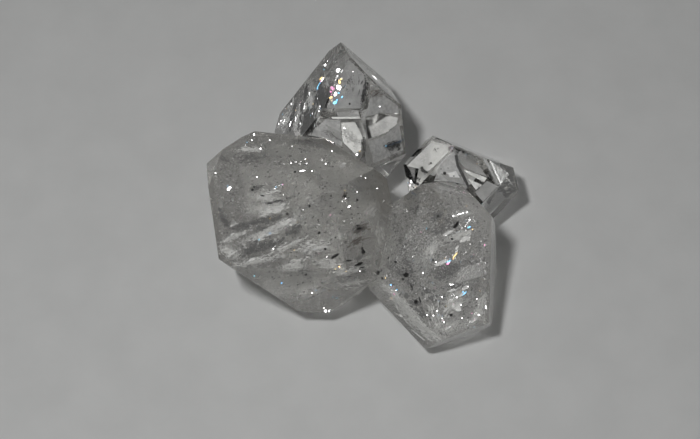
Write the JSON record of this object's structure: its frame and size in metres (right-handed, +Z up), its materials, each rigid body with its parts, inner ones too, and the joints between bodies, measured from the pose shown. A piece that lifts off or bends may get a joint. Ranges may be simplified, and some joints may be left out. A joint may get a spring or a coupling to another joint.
{
  "type": "herkimer diamond quartz cluster",
  "caption": "Cluster of clear, stubby, doubly terminated quartz crystals grown into one another, with flat faces and pointed tips, lying on small worn spots.",
  "frame": {"origin": "middle of the cluster's footprint, on the surface it lies on", "axes": "+Z up from the surface it lies on, +X along its greatest width, from the big crystal towards the small one, +Y towards the clear pointed crystal"},
  "size_m": [0.0358, 0.0346, 0.0192],
  "materials": {
    "quartz": "clear, smooth and glossy crystal faces, with milky veils and dark flecks sealed inside"
  },
  "bodies": {
    "root": {"crystal_cluster": "quartz"}
  },
  "joints": []
}
